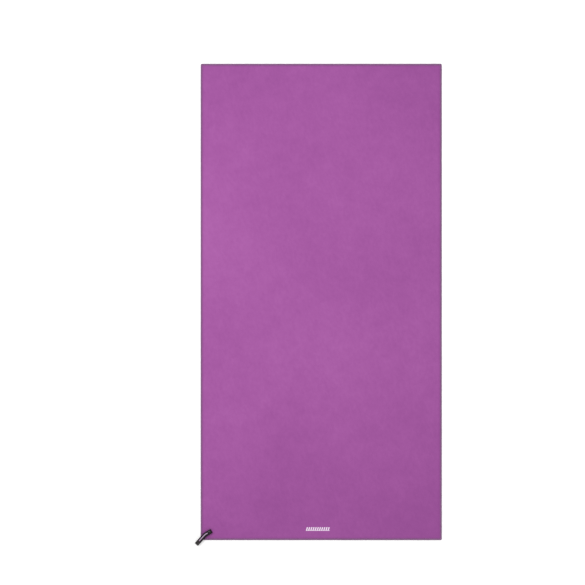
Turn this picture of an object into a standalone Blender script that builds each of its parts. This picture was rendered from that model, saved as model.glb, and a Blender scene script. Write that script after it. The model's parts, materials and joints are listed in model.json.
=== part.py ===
"""Quick dry towel with an overlocked edge and a snap hanging loop at one corner.

Metres, +Z up. The towel lies flat with its underside on z = 0 and the origin at the
middle of that underside. X runs across the width, Y from the foot end to the head
end. The loop is on the corner at -X, -Y.
"""

from math import acos, ceil, cos, pi, radians, sin, tan

import bmesh
import bpy
from mathutils import Vector

# Driving dimensions, all independent of each other.
TOWEL_WIDTH = 0.810
TOWEL_LENGTH = 1.600
CLOTH_THICKNESS = 0.0013      # with its nap
EDGE_WIDTH = 0.0065           # how far the overlock thread reaches in over the cloth
EDGE_THREAD = 0.0004          # thickness of the thread layer round the cloth's edge
CORNER_EASE = 0.0010          # radius left inside the edging where it turns a corner
HEAD_LENGTH = 0.533           # the end that folds over first
FOLD_RISE = 0.0030            # fold axis above the surface the towel lies on

MARK_LENGTH = 0.080
MARK_HEIGHT = 0.012
MARK_FILM = 0.0002
MARK_EDGE_DISTANCE = 0.0375   # from the middle of the mark to the foot edge
MARK_SIDE_OFFSET = 0.0113     # the mark sits this far to the loop's side of the middle
MARK_BARS = 11
MARK_BAR_WIDTH = 0.0041
MARK_RULE = 0.0016            # width of the rule that joins the bars
MARK_LEAN = 0.30              # sideways lean of a bar for each unit of its height

WEBBING_WIDTH = 0.0140
WEBBING_THICKNESS = 0.0012
TAB_LENGTH = 0.020            # the sewn end, under the loop
BEND_FROM_SIDE_EDGE = 0.0159  # where the loop bends in plan, from the towel's side edge
BEND_FROM_FOOT_EDGE = 0.0198  # and from its foot edge
BEND_RADIUS = 0.030
INNER_RUN = 0.0226            # from the bend to the inner fold's axis
OUTER_RUN = 0.0412            # from the bend to the outer fold's axis
INNER_HEADING = radians(30.0)
OUTER_HEADING = radians(47.7)
FREE_END = 0.0009             # the upper run reaches this far past the inner fold's axis

SNAP_FROM_FREE_END = 0.0070   # the snap's centre, from the upper run's free end
CAP_RADIUS = 0.0062
CAP_RISE = 0.0019
CAP_RIM = 0.0006
STUD_RADIUS = 0.0052
POST_RADIUS = 0.0048
FLANGE_THICKNESS = 0.0008
SOCKET_RADIUS = 0.0053
SOCKET_LIP = 0.0007           # below the spring's groove
SOCKET_WEB = 0.0010           # above the groove
SOCKET_EASE = 0.0004          # the chamfer round the socket's lower rim
KNOB_RADIUS = 0.00205
KNOB_HEAD = 0.0008            # height of the knob's wider head
KNOB_NECK = 0.0016
SHANK_RADIUS = 0.0014
SPRING_WIRE = 0.00035         # the wire's radius

STITCH_WIDTH = 0.0007
STITCH_HEIGHT = 0.0004
STITCH_INSET = 0.0013         # from the tab's sides and end to the stitching

FIT = 0.0003                  # gap between two pieces that touch
ARC_STEP = radians(15.0)
SMOOTH_BELOW = radians(35.0)  # edges flatter than this are shaded smooth
ROUND_SEGMENTS = 32
SPRING_SIDES = 8
DOME_STEPS = 6
BEND_STEPS = 6

# Each finish: its colour, roughness and metallic value.
FINISHES = {
    "microfibre": ((0.392, 0.112, 0.381), 0.95, 0.0),
    "overlock": ((0.231, 0.087, 0.235), 0.80, 0.0),
    "pale_transfer": ((0.830, 0.600, 0.830), 0.60, 0.0),
    "webbing": ((0.012, 0.010, 0.012), 0.75, 0.0),
    "black_thread": ((0.020, 0.018, 0.020), 0.70, 0.0),
    "black_metal": ((0.045, 0.040, 0.045), 0.35, 1.0),
    "steel": ((0.450, 0.450, 0.460), 0.40, 1.0),
    "spring_wire": ((0.600, 0.600, 0.600), 0.30, 1.0),
}

# Heights that follow from the stack of pieces, from the bottom up.
margin_bottom = EDGE_THREAD + FIT
cloth_top = CLOTH_THICKNESS
edge_top = cloth_top + FIT + EDGE_THREAD
tab_bottom = cloth_top + FIT
tab_top = tab_bottom + WEBBING_THICKNESS
post_bottom = tab_top + FIT
lower_bottom = post_bottom + max(FLANGE_THICKNESS, STITCH_HEIGHT) + FIT
lower_top = lower_bottom + WEBBING_THICKNESS
stud_bottom = lower_top + FIT
stud_top = stud_bottom + FLANGE_THICKNESS
socket_bottom = stud_top + FIT
groove_bottom = socket_bottom + SOCKET_LIP
groove_top = groove_bottom + 2 * (SPRING_WIRE + FIT)
socket_top = groove_top + SOCKET_WEB
upper_bottom = socket_top + FIT
upper_top = upper_bottom + WEBBING_THICKNESS
cap_bottom = upper_top + FIT

# Folds of the webbing: the axis of each is at the middle of its round.
tab_middle = (tab_bottom + tab_top) / 2
lower_middle = (lower_bottom + lower_top) / 2
upper_middle = (upper_bottom + upper_top) / 2
inner_fold_height = (tab_middle + lower_middle) / 2
inner_fold_radius = (lower_middle - tab_middle) / 2
outer_fold_height = (lower_middle + upper_middle) / 2
outer_fold_radius = (upper_middle - lower_middle) / 2

# Plan of the edging.
corner_radius = EDGE_WIDTH + CORNER_EASE
cloth_inset = EDGE_THREAD + FIT
half_width = TOWEL_WIDTH / 2
half_length = TOWEL_LENGTH / 2
fold_line = half_length - HEAD_LENGTH

# Plan of the loop, measured outwards along its middle line from the inner fold's axis.
bend_angle = OUTER_HEADING - INNER_HEADING
bend_tangent = BEND_RADIUS * tan(abs(bend_angle) / 2)
bend_start = INNER_RUN - bend_tangent
bend_end = bend_start + BEND_RADIUS * abs(bend_angle)
outer_fold_at = bend_end + OUTER_RUN - bend_tangent
snap_at = SNAP_FROM_FREE_END - FREE_END
tab_start = inner_fold_radius + WEBBING_THICKNESS / 2 + FIT
bend_point = Vector((-half_width + BEND_FROM_SIDE_EDGE, -half_length + BEND_FROM_FOOT_EDGE, 0))


def heading(angle):
    """Unit vector of a heading that is measured from -X towards -Y."""
    return Vector((-cos(angle), -sin(angle), 0))


def loop_plan(distance):
    """Point and heading on the loop's middle line, this far out from the inner fold's axis."""
    inner_axis = bend_point - heading(INNER_HEADING) * INNER_RUN
    if distance <= bend_start:
        return inner_axis + heading(INNER_HEADING) * distance, INNER_HEADING
    if distance >= bend_end:
        past = distance - bend_end + bend_tangent
        return bend_point + heading(OUTER_HEADING) * past, OUTER_HEADING
    angle = INNER_HEADING + (distance - bend_start) / BEND_RADIUS * (1 if bend_angle > 0 else -1)
    half_turn = (angle - INNER_HEADING) / 2
    chord = 2 * BEND_RADIUS * sin(abs(half_turn))
    start = inner_axis + heading(INNER_HEADING) * bend_start
    return start + heading(INNER_HEADING + half_turn) * chord, angle


def arc(start, end):
    """Angles from start to end, both included, in steps of at most ARC_STEP."""
    steps = max(1, ceil(abs(end - start) / ARC_STEP))
    return [start + (end - start) * i / steps for i in range(steps + 1)]


def stretch(start, end):
    """Distances from start to end along the loop, both included, with more round its bend."""
    bends = [bend_start + (bend_end - bend_start) * i / BEND_STEPS for i in range(BEND_STEPS + 1)]
    inner = sorted((d for d in bends if min(start, end) < d < max(start, end)), reverse=end < start)
    return [start, *inner, end]


def material(name, colour, roughness, metallic):
    made = bpy.data.materials.new(name)
    made.use_nodes = True
    shader = made.node_tree.nodes["Principled BSDF"]
    shader.inputs["Base Color"].default_value = (*colour, 1.0)
    shader.inputs["Roughness"].default_value = roughness
    shader.inputs["Metallic"].default_value = metallic
    return made


def add_object(name, bm, finish, axis=None, smooth=False):
    """Make an object from a bmesh, with its faces outwards, and hang it on a joint's axis."""
    bmesh.ops.recalc_face_normals(bm, faces=bm.faces)
    mesh = bpy.data.meshes.new(name)
    bm.to_mesh(mesh)
    bm.free()
    if smooth:
        mesh.shade_smooth()
        mesh.set_sharp_from_angle(angle=SMOOTH_BELOW)
    made = bpy.data.objects.new(name, mesh)
    made.data.materials.append(material(f"{name}_{finish}", *FINISHES[finish]))
    bpy.context.scene.collection.objects.link(made)
    if axis is not None:
        made.parent = axis
        made.matrix_parent_inverse = axis.matrix_world.inverted()
    return made


def add_axis(name, point, parent=None):
    """An empty on a joint's axis, the parent of all that turns about it."""
    made = bpy.data.objects.new(name, None)
    made.empty_display_size = 0.02
    bpy.context.scene.collection.objects.link(made)
    made.location = point
    bpy.context.view_layer.update()
    if parent is not None:
        made.parent = parent
        made.matrix_parent_inverse = parent.matrix_world.inverted()
        bpy.context.view_layer.update()
    return made


def swept(name, section, stations, finish, axis=None):
    """Sweep a closed section of (a, b) points along stations of (point, a axis, b axis)."""
    bm = bmesh.new()
    rings = [
        [bm.verts.new(point + side * a + up * b) for a, b in section]
        for point, side, up in stations
    ]
    for ring, following in zip(rings, rings[1:]):
        for i in range(len(section)):
            j = (i + 1) % len(section)
            bm.faces.new((ring[i], ring[j], following[j], following[i]))
    bm.faces.new(rings[0])
    bm.faces.new(rings[-1])
    return add_object(name, bm, finish, axis, smooth=True)


def flat_piece(name, outlines, bottom, top, finish, axis=None):
    """A flat piece between two heights. The first outline is its edge, the others are holes."""
    bm = bmesh.new()
    edges = []
    for outline in outlines:
        verts = [bm.verts.new((x, y, bottom)) for x, y in outline]
        edges += [bm.edges.new((verts[i - 1], verts[i])) for i in range(len(verts))]
    bmesh.ops.triangle_fill(bm, use_beauty=True, use_dissolve=False, edges=edges)
    raised = bmesh.ops.extrude_face_region(bm, geom=bm.faces[:])
    moved = [item for item in raised["geom"] if isinstance(item, bmesh.types.BMVert)]
    bmesh.ops.translate(bm, verts=moved, vec=(0, 0, top - bottom))
    return add_object(name, bm, finish, axis)


def turned(name, profile, centre, finish, axis=None, hollow=False):
    """Turn a profile of (radius, height) points about a vertical axis through centre.

    A hollow profile is closed on itself and makes a ring; another starts and ends on the axis.
    """
    bm = bmesh.new()
    rings = []
    for radius, height in profile:
        if radius == 0:
            rings.append([bm.verts.new((centre.x, centre.y, height))])
            continue
        turns = [2 * pi * i / ROUND_SEGMENTS for i in range(ROUND_SEGMENTS)]
        points = [(centre.x + radius * cos(t), centre.y + radius * sin(t), height) for t in turns]
        rings.append([bm.verts.new(point) for point in points])
    pairs = list(zip(rings, rings[1:]))
    if hollow:
        pairs.append((rings[-1], rings[0]))
    for ring, following in pairs:
        if len(ring) == len(following) == 1:
            continue
        for i in range(ROUND_SEGMENTS):
            j = (i + 1) % ROUND_SEGMENTS
            corners = [ring[i % len(ring)], ring[j % len(ring)]]
            corners += [following[j % len(following)], following[i % len(following)]]
            bm.faces.new(dict.fromkeys(corners))
    return add_object(name, bm, finish, axis, smooth=True)


def drilled(target, centre, radius, bottom, top, finish):
    """Cut a round hole through a run of webbing."""
    cutter = turned(
        f"{target.name}_cutter",
        [(0, bottom), (radius, bottom), (radius, top), (0, top)],
        centre,
        finish,
    )
    cutter.hide_render = True
    cutter.display_type = "WIRE"
    hole = target.modifiers.new("hole", "BOOLEAN")
    hole.operation = "DIFFERENCE"
    hole.object = cutter


def corner_arc(centre_x, centre_y, radius, start, end):
    return [(centre_x + radius * cos(t), centre_y + radius * sin(t)) for t in arc(start, end)]


def panel_outline(far_end, near_line, inset):
    """A panel of the cloth, this far inside the towel's edge, with eased corners at far_end."""
    side = half_width - inset
    radius = corner_radius - inset
    sign = 1 if far_end > near_line else -1
    end = far_end - sign * inset
    right = corner_arc(side - radius, end - sign * radius, radius, 0, sign * pi / 2)
    left = corner_arc(-side + radius, end - sign * radius, radius, sign * pi / 2, sign * pi)
    return [(side, near_line), *right, *left, (-side, near_line)]


def cloth_panel(name, far_end, near_line, finish, axis=None):
    """A panel of the cloth, square at near_line. The edging presses its margin thin from below."""
    field = panel_outline(far_end, near_line, EDGE_WIDTH + FIT)
    margin = panel_outline(far_end, near_line, cloth_inset)
    levels = [(field, 0), (field, margin_bottom), (margin, margin_bottom), (margin, cloth_top)]
    bm = bmesh.new()
    rings = [[bm.verts.new((x, y, z)) for x, y in outline] for outline, z in levels]
    for ring, following in zip(rings, rings[1:]):
        for i in range(len(ring) - 1):
            bm.faces.new((ring[i], ring[i + 1], following[i + 1], following[i]))
    bm.faces.new(rings[0])
    bm.faces.new(rings[-1])
    bm.faces.new([ring[0] for ring in rings] + [ring[-1] for ring in reversed(rings)])
    return add_object(name, bm, finish, axis)


def edging_section():
    """The thread's section, open towards the cloth: a reaches inwards and b up."""
    inside = EDGE_THREAD
    ceiling = edge_top - EDGE_THREAD
    return [
        (0, 0), (EDGE_WIDTH, 0), (EDGE_WIDTH, EDGE_THREAD), (inside, EDGE_THREAD),
        (inside, ceiling), (EDGE_WIDTH, ceiling), (EDGE_WIDTH, edge_top), (0, edge_top),
    ]


def end_edging(name, sign, finish, axis=None):
    """Edging of one end, with both of its corners. sign is 1 for the head and -1 for the foot."""
    up = Vector((0, 0, 1))
    stations = []
    for side in (-1, 1):
        middle = Vector((side * (half_width - corner_radius), sign * (half_length - corner_radius), 0))
        turns = arc(0, pi / 2)
        if side > 0:
            turns.reverse()
        for turn in turns:
            out = Vector((side * cos(turn), sign * sin(turn), 0))
            stations.append((middle + out * corner_radius, -out, up))
    return swept(name, edging_section(), stations, finish, axis)


def side_edging(name, side, start, end, finish, axis=None):
    """Straight edging along one long side, between two places along Y."""
    inwards = Vector((-side, 0, 0))
    up = Vector((0, 0, 1))
    stations = [(Vector((side * half_width, y, 0)), inwards, up) for y in (start, end)]
    return swept(name, edging_section(), stations, finish, axis)


def webbing(name, route, finish, axis=None):
    """Webbing along a route of (distance, height, tilt), tilt being the run's turn from level."""
    half = WEBBING_WIDTH / 2
    thick = WEBBING_THICKNESS / 2
    section = [(-half, -thick), (half, -thick), (half, thick), (-half, thick)]
    stations = []
    for distance, height, tilt in route:
        point, angle = loop_plan(distance)
        along = heading(angle)
        across = Vector((-along.y, along.x, 0))
        up = Vector((0, 0, cos(tilt))) + along * sin(tilt)
        stations.append((point + Vector((0, 0, height)), across, up))
    return swept(name, section, stations, finish, axis)


def loop_outline(start, end, half):
    """A strip of the loop's plan, this far to both sides of its middle line."""
    left, right = [], []
    for distance in stretch(start, end):
        point, angle = loop_plan(distance)
        across = Vector((-heading(angle).y, heading(angle).x, 0))
        left.append((point + across * half).to_2d())
        right.append((point - across * half).to_2d())
    return left, right


def build_cloth(fold_axis):
    """One sheet, in two panels that meet at the fold line."""
    gap = FIT / 2
    cloth_panel("towel_cloth_body", -half_length, fold_line - gap, "microfibre")
    cloth_panel("towel_cloth_head", half_length, fold_line + gap, "microfibre", fold_axis)


def build_edging(fold_axis):
    """The edging of the two ends takes in the corners, and the sides run between them."""
    end = half_length - corner_radius - FIT
    gap = FIT / 2
    end_edging("edge_overlock_foot_end", -1, "overlock")
    end_edging("edge_overlock_head_end", 1, "overlock", fold_axis)
    for side, word in ((-1, "left"), (1, "right")):
        side_edging(f"edge_overlock_{word}_body", side, -end, fold_line - gap, "overlock")
        side_edging(f"edge_overlock_{word}_head", side, fold_line + gap, end, "overlock", fold_axis)


def build_mark():
    """A plain row of leaning bars on a rule, with no lettering."""
    middle_x = -MARK_SIDE_OFFSET
    bottom = -half_length + MARK_EDGE_DISTANCE - MARK_HEIGHT / 2
    pitch = MARK_LENGTH / MARK_BARS
    lean = MARK_LEAN * (MARK_HEIGHT - MARK_RULE)
    left = middle_x - MARK_LENGTH / 2
    shoulder = bottom + MARK_RULE
    outline = [(left, bottom), (left + MARK_LENGTH, bottom), (left + MARK_LENGTH, shoulder)]
    margin = (pitch - MARK_BAR_WIDTH - lean) / 2
    for i in reversed(range(MARK_BARS)):
        start = left + pitch * i + margin
        end = start + MARK_BAR_WIDTH
        outline += [(end, shoulder), (end + lean, bottom + MARK_HEIGHT)]
        outline += [(start + lean, bottom + MARK_HEIGHT), (start, shoulder)]
    outline.append((left, shoulder))
    film_bottom = cloth_top + FIT
    flat_piece("print_mark", [outline], film_bottom, film_bottom + MARK_FILM, "pale_transfer")


def build_loop(swing_axis, open_axis):
    """One length of webbing: the sewn tab, the lower run and the upper run, each with its fold."""
    tab = [(d, tab_middle, 0) for d in stretch(tab_start, tab_start + TAB_LENGTH)]
    webbing("loop_sewn_tab", tab, "webbing")
    inner_turn = [
        (inner_fold_radius * sin(t), inner_fold_height + inner_fold_radius * cos(t), t)
        for t in arc(-pi, 0)
    ]
    lower_end = outer_fold_at - outer_fold_radius - WEBBING_THICKNESS / 2 - FIT
    lower_run = [(d, lower_middle, 0) for d in stretch(0, lower_end)]
    lower = webbing("loop_lower_run", inner_turn + lower_run[1:], "webbing", swing_axis)
    outer_turn = [
        (outer_fold_at + outer_fold_radius * sin(t), outer_fold_height + outer_fold_radius * cos(t), t)
        for t in arc(0, pi)
    ]
    upper_run = [(d, upper_middle, 0) for d in stretch(-FREE_END, outer_fold_at)]
    upper = webbing("loop_upper_run", upper_run + outer_turn[1:], "webbing", open_axis)
    centre, _ = loop_plan(snap_at)
    drilled(lower, centre, SHANK_RADIUS + FIT, tab_top, stud_top, "webbing")
    drilled(upper, centre, SHANK_RADIUS + FIT, socket_top, cap_bottom + CAP_RISE, "webbing")


def build_box_stitch():
    """A sewn box with a cross in it, just past the snap on the tab."""
    start = snap_at + max(POST_RADIUS, STUD_RADIUS) + STITCH_INSET
    end = tab_start + TAB_LENGTH - STITCH_INSET
    half = WEBBING_WIDTH / 2 - STITCH_INSET
    left, right = loop_outline(start, end, half)
    outline = [*left, *reversed(right)]
    corners = [left[0], right[0], right[-1], left[-1]]
    middle = sum((Vector(corner) for corner in corners), Vector((0, 0))) / 4
    holes = []
    for i, corner in enumerate(corners):
        triangle = [Vector(corners[i - 1]), Vector(corner), middle]
        holes.append(inset_triangle(triangle, (STITCH_WIDTH, STITCH_WIDTH / 2, STITCH_WIDTH / 2)))
    stitch_top = post_bottom + STITCH_HEIGHT
    flat_piece("loop_box_stitch", [outline, *holes], post_bottom, stitch_top, "black_thread")


def inset_triangle(corners, insets):
    """Move each side of a triangle inwards. insets[i] belongs to the side after corner i."""
    middle = sum(corners, Vector((0, 0))) / 3
    lines = []
    for i, inset in enumerate(insets):
        along = (corners[(i + 1) % 3] - corners[i]).normalized()
        inwards = Vector((-along.y, along.x))
        if inwards.dot(middle - corners[i]) < 0:
            inwards.negate()
        lines.append((corners[i] + inwards * inset, along))
    points = []
    for i in range(3):
        (point, along), (other, direction) = lines[i - 1], lines[i]
        cross = along.x * direction.y - along.y * direction.x
        offset = other - point
        points.append(point + along * ((offset.x * direction.y - offset.y * direction.x) / cross))
    return points


def build_snap(swing_axis, open_axis):
    """Cap and socket hold the upper run between them, stud and post the lower run."""
    centre, _ = loop_plan(snap_at)
    shank_hole = SHANK_RADIUS + FIT
    mouth = KNOB_RADIUS + FIT
    groove = mouth + 2 * SPRING_WIRE + FIT
    spring_height = (groove_bottom + groove_top) / 2
    flange_top = post_bottom + FLANGE_THICKNESS
    post_top = stud_bottom + FIT
    recess_top = post_top + FIT
    knob_top = groove_top - FIT
    head_bottom = knob_top - KNOB_HEAD

    turned("snap_post", [
        (0, post_bottom), (POST_RADIUS, post_bottom), (POST_RADIUS, flange_top),
        (SHANK_RADIUS, flange_top), (SHANK_RADIUS, post_top), (0, post_top),
    ], centre, "steel", swing_axis)

    turned("snap_stud", [
        (shank_hole, stud_bottom), (STUD_RADIUS, stud_bottom), (STUD_RADIUS, stud_top),
        (KNOB_NECK, stud_top), (KNOB_NECK, head_bottom), (KNOB_RADIUS, head_bottom + KNOB_HEAD / 3),
        (KNOB_RADIUS, head_bottom + KNOB_HEAD * 2 / 3), (KNOB_NECK, knob_top), (0, knob_top),
        (0, recess_top), (shank_hole, recess_top),
    ], centre, "steel", swing_axis, hollow=True)

    turned("snap_socket", [
        (mouth, socket_bottom), (SOCKET_RADIUS - SOCKET_EASE, socket_bottom),
        (SOCKET_RADIUS, socket_bottom + SOCKET_EASE), (SOCKET_RADIUS, socket_top),
        (shank_hole, socket_top), (shank_hole, groove_top), (groove, groove_top),
        (groove, groove_bottom), (mouth, groove_bottom),
    ], centre, "steel", open_axis, hollow=True)

    turned("snap_spring", [
        (mouth + SPRING_WIRE * (1 + cos(t)), spring_height + SPRING_WIRE * sin(t))
        for t in (2 * pi * i / SPRING_SIDES for i in range(SPRING_SIDES))
    ], centre, "spring_wire", open_axis, hollow=True)

    crown = CAP_RISE - CAP_RIM
    dome_radius = (CAP_RADIUS**2 + crown**2) / (2 * crown)
    half_angle = acos(1 - crown / dome_radius)
    dome = []
    for i in range(DOME_STEPS + 1):
        angle = half_angle * (1 - i / DOME_STEPS)
        drop = dome_radius * (1 - cos(angle))
        dome.append((dome_radius * sin(angle), cap_bottom + CAP_RISE - drop))
    shank_end = groove_top + FIT / 2
    turned("snap_cap", [
        (0, shank_end), (SHANK_RADIUS, shank_end), (SHANK_RADIUS, cap_bottom),
        (CAP_RADIUS, cap_bottom), *dome,
    ], centre, "black_metal", open_axis)


for old in list(bpy.data.objects):
    bpy.data.objects.remove(old, do_unlink=True)

inner_axis_point, _ = loop_plan(0)
outer_axis_point, _ = loop_plan(outer_fold_at)
fold = add_axis("fold_axis", (0, fold_line, FOLD_RISE))
swing = add_axis("swing_axis", inner_axis_point + Vector((0, 0, inner_fold_height)))
opening = add_axis("open_axis", outer_axis_point + Vector((0, 0, outer_fold_height)), swing)

build_cloth(fold)
build_edging(fold)
build_mark()
build_loop(swing, opening)
build_box_stitch()
build_snap(swing, opening)
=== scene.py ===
import json
from math import atan2, ceil, copysign, cos, pi, radians, sin, sqrt, tan

import bpy
import numpy as np
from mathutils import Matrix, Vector


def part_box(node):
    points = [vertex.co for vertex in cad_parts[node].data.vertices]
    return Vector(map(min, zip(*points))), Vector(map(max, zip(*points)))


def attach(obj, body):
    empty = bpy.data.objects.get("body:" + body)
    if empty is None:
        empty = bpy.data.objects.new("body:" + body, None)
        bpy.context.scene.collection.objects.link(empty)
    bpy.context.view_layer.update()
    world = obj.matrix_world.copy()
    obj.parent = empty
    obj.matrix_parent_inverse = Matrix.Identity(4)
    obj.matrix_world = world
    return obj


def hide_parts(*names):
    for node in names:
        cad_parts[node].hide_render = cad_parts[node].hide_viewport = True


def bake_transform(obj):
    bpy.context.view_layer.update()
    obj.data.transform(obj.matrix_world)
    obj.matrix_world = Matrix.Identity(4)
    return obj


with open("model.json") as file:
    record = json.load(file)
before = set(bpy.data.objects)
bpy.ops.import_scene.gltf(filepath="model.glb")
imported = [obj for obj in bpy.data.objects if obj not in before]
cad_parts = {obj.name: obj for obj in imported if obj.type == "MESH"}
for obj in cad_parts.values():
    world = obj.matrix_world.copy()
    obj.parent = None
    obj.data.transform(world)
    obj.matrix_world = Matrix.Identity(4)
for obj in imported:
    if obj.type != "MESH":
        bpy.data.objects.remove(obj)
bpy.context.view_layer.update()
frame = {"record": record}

# ---- Camera -------------------------------------------------------------------------
# It looks straight down on the towel from high above, with the towel a little to the
# right of the middle of the picture.
PICTURE_WIDTH = 1.965          # what the camera takes in at the floor
TOWEL_RIGHT = 0.0964           # how far the towel lies right of the picture's middle
TOWEL_DOWN = 0.0317            # and below it
LENS = 85
SENSOR = 36
CLIP_START = 0.05
CLIP_END = 50

bpy.ops.object.select_all(action="DESELECT")
bpy.ops.object.camera_add(
    location=(-TOWEL_RIGHT, TOWEL_DOWN, PICTURE_WIDTH * LENS / SENSOR), rotation=(0, 0, 0)
)
camera = bpy.context.object
camera.data.lens = LENS
camera.data.sensor_width = SENSOR
camera.data.clip_start = CLIP_START
camera.data.clip_end = CLIP_END
bpy.context.scene.camera = camera

# ---- Floor and light ----------------------------------------------------------------
# A plain white studio floor that glows a little, as a light table does, in a white room
# with one large soft lamp high on the upper left.
FLOOR_SIZE = 60
FLOOR_DROP = 0.0004            # clear of the stitching under the towel
FLOOR_WHITE = (0.97, 0.97, 0.97, 1)
FLOOR_GLOW = 0.17
WHITE = (1, 1, 1, 1)
ROOM_LIGHT = 0.74
LAMP_PLACE = (-1.2, 0.7, 3.2)
LAMP_SIZE = 2.2
LAMP_WATTS = 42

bpy.ops.mesh.primitive_plane_add(size=FLOOR_SIZE, location=(0, 0, -FLOOR_DROP))
floor = bpy.context.object
floor.name = "studio_floor"
floor_paint = bpy.data.materials.new("white_floor")
floor_paint.use_nodes = True
floor_shader = floor_paint.node_tree.nodes["Principled BSDF"]
floor_shader.inputs["Base Color"].default_value = FLOOR_WHITE
floor_shader.inputs["Roughness"].default_value = 0.9
floor_shader.inputs["Specular IOR Level"].default_value = 0.1
floor_shader.inputs["Emission Color"].default_value = WHITE
floor_shader.inputs["Emission Strength"].default_value = FLOOR_GLOW
floor.data.materials.append(floor_paint)

room = bpy.data.worlds.new("white_room")
room.use_nodes = True
room_light = room.node_tree.nodes["Background"]
room_light.inputs["Color"].default_value = WHITE
room_light.inputs["Strength"].default_value = ROOM_LIGHT
bpy.context.scene.world = room

bpy.ops.object.light_add(type="AREA", location=LAMP_PLACE)
lamp = bpy.context.object
lamp.name = "soft_lamp"
lamp.data.shape = "DISK"
lamp.data.size = LAMP_SIZE
lamp.data.energy = LAMP_WATTS
lamp.rotation_euler = (-Vector(LAMP_PLACE)).to_track_quat("-Z", "Y").to_euler()
bpy.context.scene.view_settings.view_transform = "Standard"

# ---- Towel cloth --------------------------------------------------------------------
# One sheet of brushed suede microfibre, knitted in one piece and cut to size. Its nap
# lies in soft strokes, and the sheet lies flat but for low waves. The edging presses its
# margin thin, and the sheet's mesh is cut into close rows across the fold line.
CLOTH_CELL = 0.0072            # of the sheet's mesh
FOLD_SPREAD = 0.0075           # length of cloth that the fold takes up
FOLD_ROWS = 15
SEED = 7                       # of the waves and of the uneven stitches
WAVE_HEIGHT = 0.0006
WAVE_CREST = 1.25              # the highest crest, in wave heights
WAVE_COUNT = 9
WAVE_LENGTHS = (0.13, 0.52)
RUFFLE_HEIGHT = 0.00020        # of the small ripple that the edging puts in
RUFFLE_LENGTH = 0.047
RUFFLE_REACH = 0.022
MARGIN_RISE = 0.0007           # how much the stitching presses the margin up from below
MARGIN_DIP = 0.00012           # and down from above
MARGIN_SLOPE = 0.0015          # length in which the cloth comes back to its full thickness
CALM_RADIUS = 0.085            # the waves die out at half this from the loop and the mark
CORNER_SHARE = 0.8             # of the edging's corner radius, cut off the cloth's corners
CORNER_CUTS = 6                # edges round each of the cloth's corners
CORNER_PROFILE = 0.62          # 0.5 is a round corner, more a squarer one
CLOTH_PURPLE = (0.372, 0.098, 0.356, 1)
CLOTH_LIGHT = (0.428, 0.126, 0.410, 1)
CLOTH_DEEP = (0.312, 0.077, 0.304, 1)
CLOTH_SHEEN = (0.95, 0.72, 0.94, 1)
# Each layer of the nap: the scale of its grain, how much longer it is along each axis, and
# its turn. The fibres lie over each other in two slants.
SHADE_SCALE = 2.2
CLOUD_SCALE = 17
MOTTLE_SCALE, MOTTLE_LAY = 95, ((1.0, 1.8, 1.0), 0.3)
STROKE_SCALE, STROKE_LAY = 700, ((1.0, 4.0, 1.0), 0.15)
SLANT_SCALE, SLANT_LAY = 3600, ((1.0, 3.2, 1.0), 0.5)
COUNTER_SCALE, COUNTER_LAY = 3900, ((1.0, 2.8, 1.0), -0.6)
KNIT_ROW = 0.0009              # the knit under the nap, which hardly shows
NAP_MIDDLE = 0.58              # 0.5 is the plain purple, and more is lighter
PAINTED_LIGHT_CENTRE = 0.10              # painted light: the colour is painted lightest here along the towel
PAINTED_SHADE_ACROSS = 0.20              # and painted shade darkens it by this much a metre to the right
PAINTED_SHADE_ALONG = 0.42               # and by this much, squared, to the ends
EDGE_SHADE_STRENGTH = 0.55             # painted shade: how much the colour darkens next to the edging
EDGE_SHADE_REACH = 0.0130         # and how far in from the edge
NAP_DEPTH = 0.0006             # how much the nap's grain is raised

cloth_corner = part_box("towel_cloth_body")[1]
half_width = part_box("edge_overlock_foot_end")[1].x
half_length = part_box("edge_overlock_head_end")[1].y
margin = half_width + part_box("edge_overlock_left_body")[1].x
corner_radius = half_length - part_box("edge_overlock_left_head")[1].y
cloth_top = cloth_corner.z
cloth_inset = half_width - cloth_corner.x
joints = {joint["name"]: joint for joint in frame["record"]["behaviour"]["joints"]}
fold_line = joints["towel_fold"]["pos_m"][1]


def box_middle(node):
    """The middle of a CAD node's box."""
    low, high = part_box(node)
    return (low + high) / 2


def start_piece(name, add, **settings):
    """Add a primitive with nothing else selected, and call it by its name."""
    bpy.ops.object.select_all(action="DESELECT")
    add(**settings)
    made = bpy.context.object
    made.name = name
    made.data.name = name
    return made


def only(piece):
    """Select this piece alone and make it the active one."""
    bpy.ops.object.select_all(action="DESELECT")
    piece.select_set(True)
    bpy.context.view_layer.objects.active = piece


def in_place(piece):
    """Put the piece's place, turn and scale into its mesh."""
    only(piece)
    bpy.ops.object.transform_apply(location=True, rotation=True, scale=True)


def finish_with(piece, kind, **settings):
    """Add a modifier with these settings and apply it."""
    only(piece)
    bpy.ops.object.modifier_add(type=kind)
    modifier = piece.modifiers[-1]
    for name, value in settings.items():
        setattr(modifier, name, value)
    bpy.ops.object.modifier_apply(modifier=modifier.name)


def places(piece):
    """The piece's points as an array with a row for each."""
    flat = np.empty(len(piece.data.vertices) * 3)
    piece.data.vertices.foreach_get("co", flat)
    return flat.reshape(-1, 3)


def set_places(piece, points):
    """Move the piece's points to these places."""
    piece.data.vertices.foreach_set("co", points.astype(np.float32).ravel())
    piece.data.update()


def remember(piece, name, values):
    """Keep a vector for each point, for the material to read however the piece bends."""
    kept = piece.data.attributes.new(name, "FLOAT_VECTOR", "POINT")
    kept.data.foreach_set("vector", values.astype(np.float32).ravel())


def smooth(piece, below=35):
    """Shade smooth, but for edges sharper than this many degrees."""
    only(piece)
    bpy.ops.object.shade_smooth_by_angle(angle=radians(below), keep_sharp_edges=False)


def faded(distance, reach):
    """0 at no distance, 1 from reach on, smooth between them."""
    share = np.clip(distance / reach, 0, 1)
    return share * share * (3 - 2 * share)


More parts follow.
